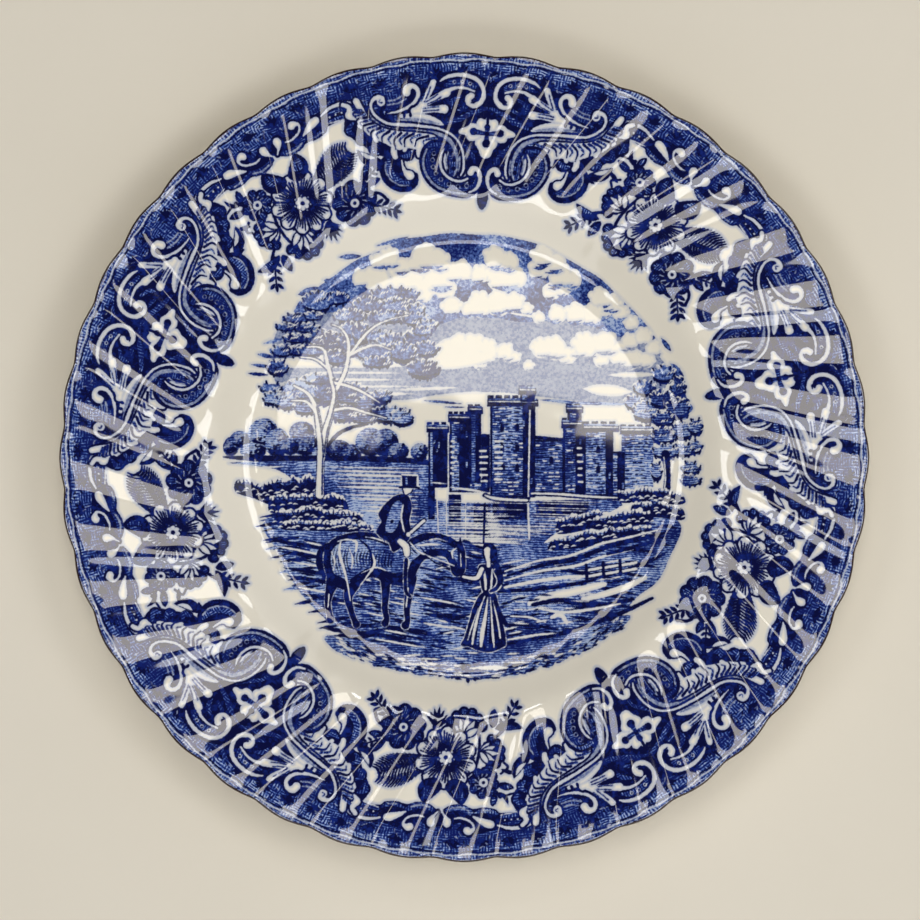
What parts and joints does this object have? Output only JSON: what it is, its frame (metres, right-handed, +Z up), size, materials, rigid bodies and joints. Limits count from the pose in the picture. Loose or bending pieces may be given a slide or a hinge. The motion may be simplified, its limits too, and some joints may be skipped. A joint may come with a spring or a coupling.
{
  "type": "dinner plate",
  "caption": "Round earthenware dinner plate with a swirled fluted rim, scalloped edge, flat well and foot ring, printed in blue under the glaze.",
  "frame": {"origin": "on the table under the centre of the plate, in the plane of the foot ring", "axes": "+Z up out of the well; +Y towards the top of the printed scene; +X to its right"},
  "size_m": [0.255, 0.255, 0.023],
  "materials": {
    "glazed_china": "clear gloss glaze over blue print"
  },
  "bodies": {
    "root": {"plate_body": "glazed_china"}
  },
  "joints": []
}
